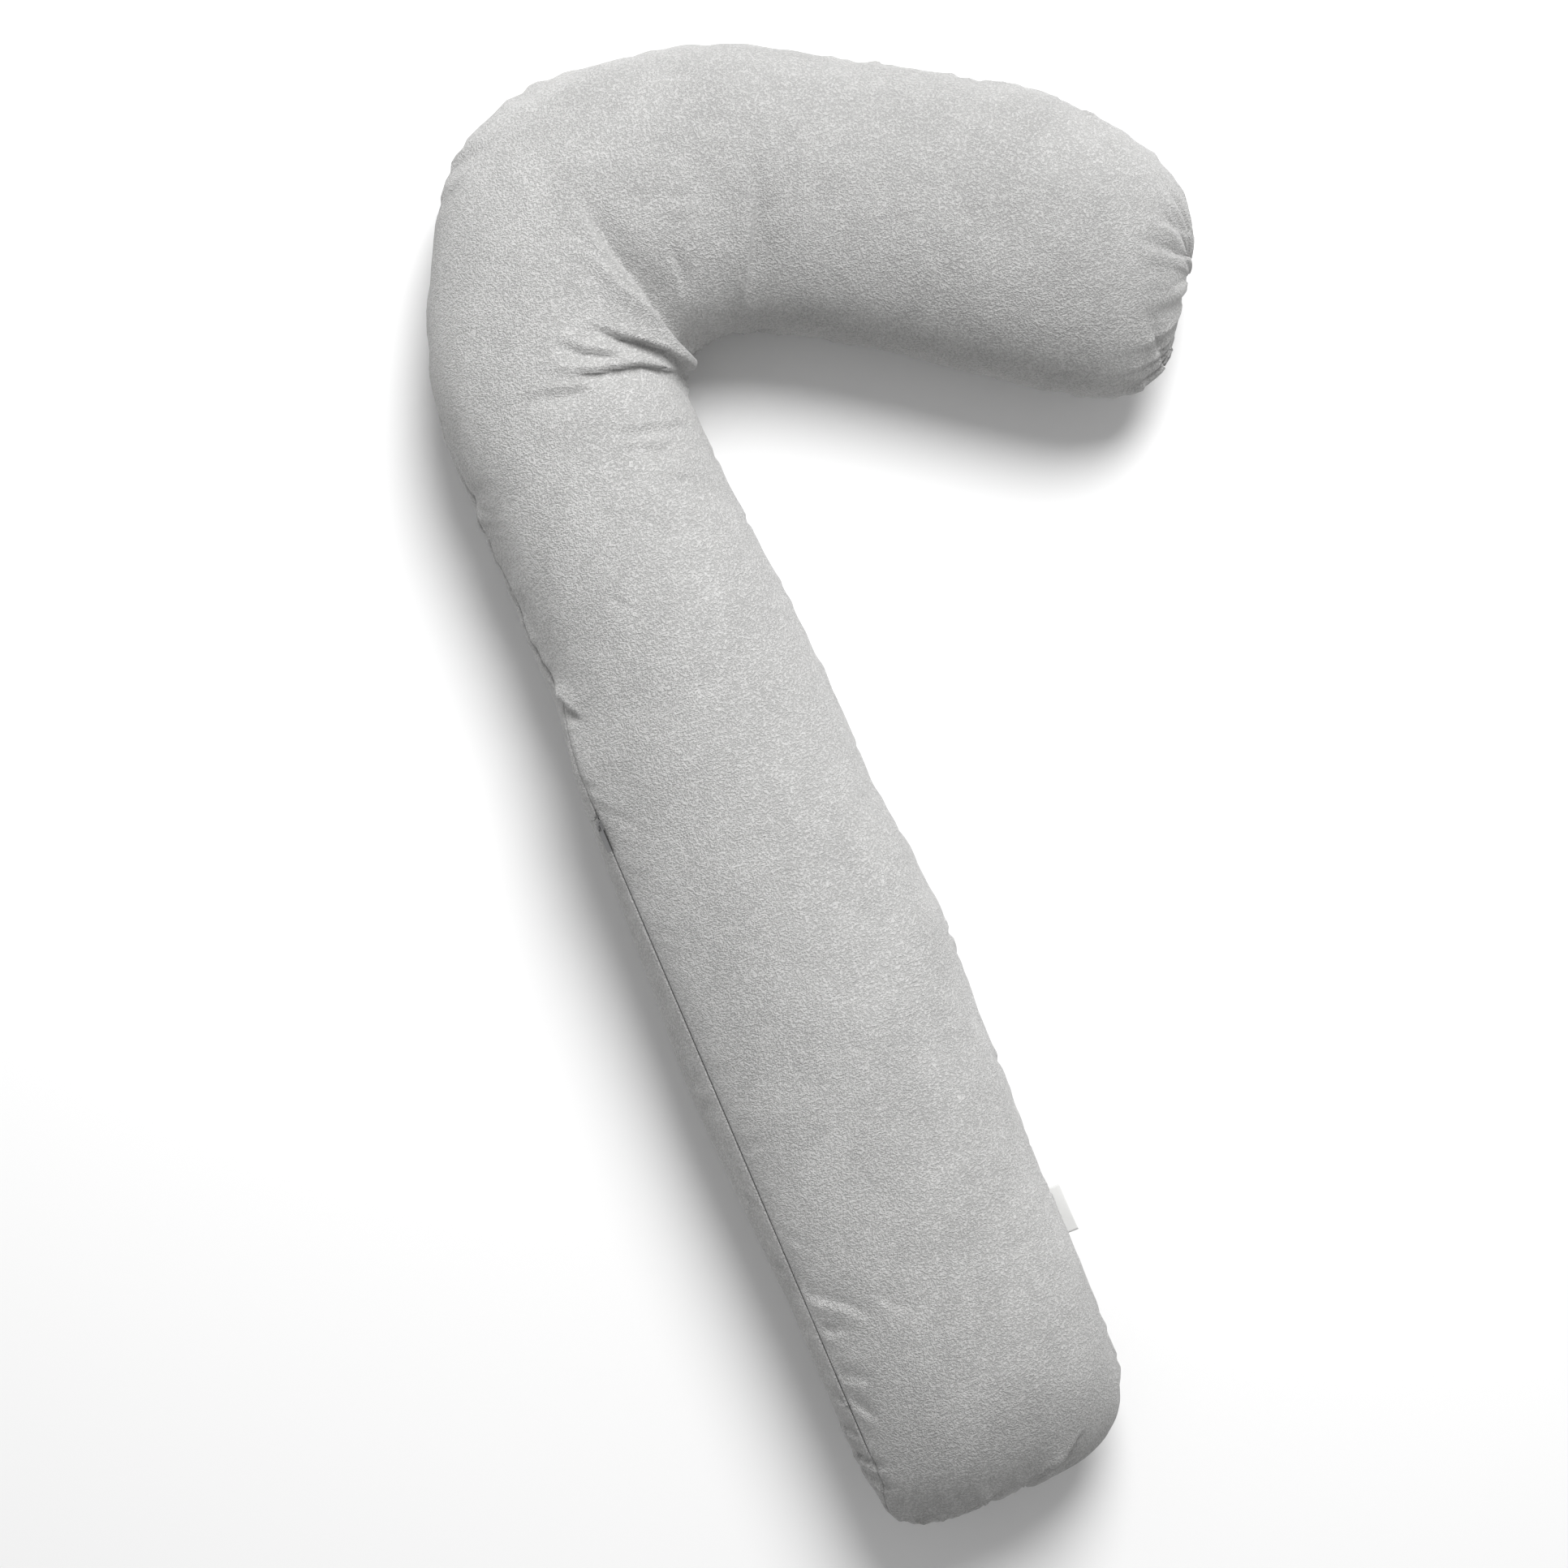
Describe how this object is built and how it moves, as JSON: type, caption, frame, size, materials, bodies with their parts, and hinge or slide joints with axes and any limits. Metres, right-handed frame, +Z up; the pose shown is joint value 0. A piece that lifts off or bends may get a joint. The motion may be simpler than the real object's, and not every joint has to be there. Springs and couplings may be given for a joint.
{
  "type": "nursing pillow",
  "caption": "Hook-shaped stuffed nursing and pregnancy pillow: a filled liner in a soft zip-off cover with a concealed zip along its straight outer side.",
  "frame": {"origin": "under the middle of the outline, on the surface the pillow lies on", "axes": "+Y along the long arm towards the hook, +X across towards the hook's free end, +Z up through the thickness; the zip is on the -X side"},
  "size_m": [0.7268, 1.3539, 0.172],
  "materials": {
    "grey_velour": "matte",
    "grey_thread": "matte",
    "white_woven_tape": "matte",
    "white_satin_ribbon": "satin",
    "white_liner_cloth": "matte",
    "white_thread": "matte",
    "white_fibre": "matte",
    "grey_zip_tape": "matte",
    "grey_nylon_coil": "satin",
    "zip_metal": "satin"
  },
  "bodies": {
    "pillow": {"cover_front_panel": "grey_velour", "cover_back_panel": "grey_velour", "cover_seam_thread_hook": "grey_thread", "cover_seam_thread_foot": "grey_thread", "brand_label": "white_woven_tape", "care_label": "white_satin_ribbon", "liner_front_panel": "white_liner_cloth", "liner_back_panel": "white_liner_cloth", "liner_seam_thread": "white_thread", "liner_closing_stitches": "white_thread", "fibre_fill": "white_fibre", "zip_tape_front": "grey_zip_tape", "zip_tape_back": "grey_zip_tape", "zip_coil_front": "grey_nylon_coil", "zip_coil_back": "grey_nylon_coil", "zip_top_stop_front": "zip_metal", "zip_top_stop_back": "zip_metal", "zip_bottom_stop": "zip_metal", "zip_tack_foot": "grey_thread", "zip_tack_hook": "grey_thread"},
    "slider": {"zip_slider": "zip_metal"},
    "pull": {"zip_pull": "zip_metal"}
  },
  "joints": [
    {"name": "zip_slide", "type": "slide", "parent": "pillow", "child": "slider", "axis": [0, -1, 0], "range_m": [0, 0.557]},
    {"name": "pull_swing", "type": "hinge", "parent": "slider", "child": "pull", "pos_m": [-0.34996, 0.02939, 0.1311], "axis": [-0.5972, 0, -0.8021], "range_deg": [0, 175]}
  ]
}
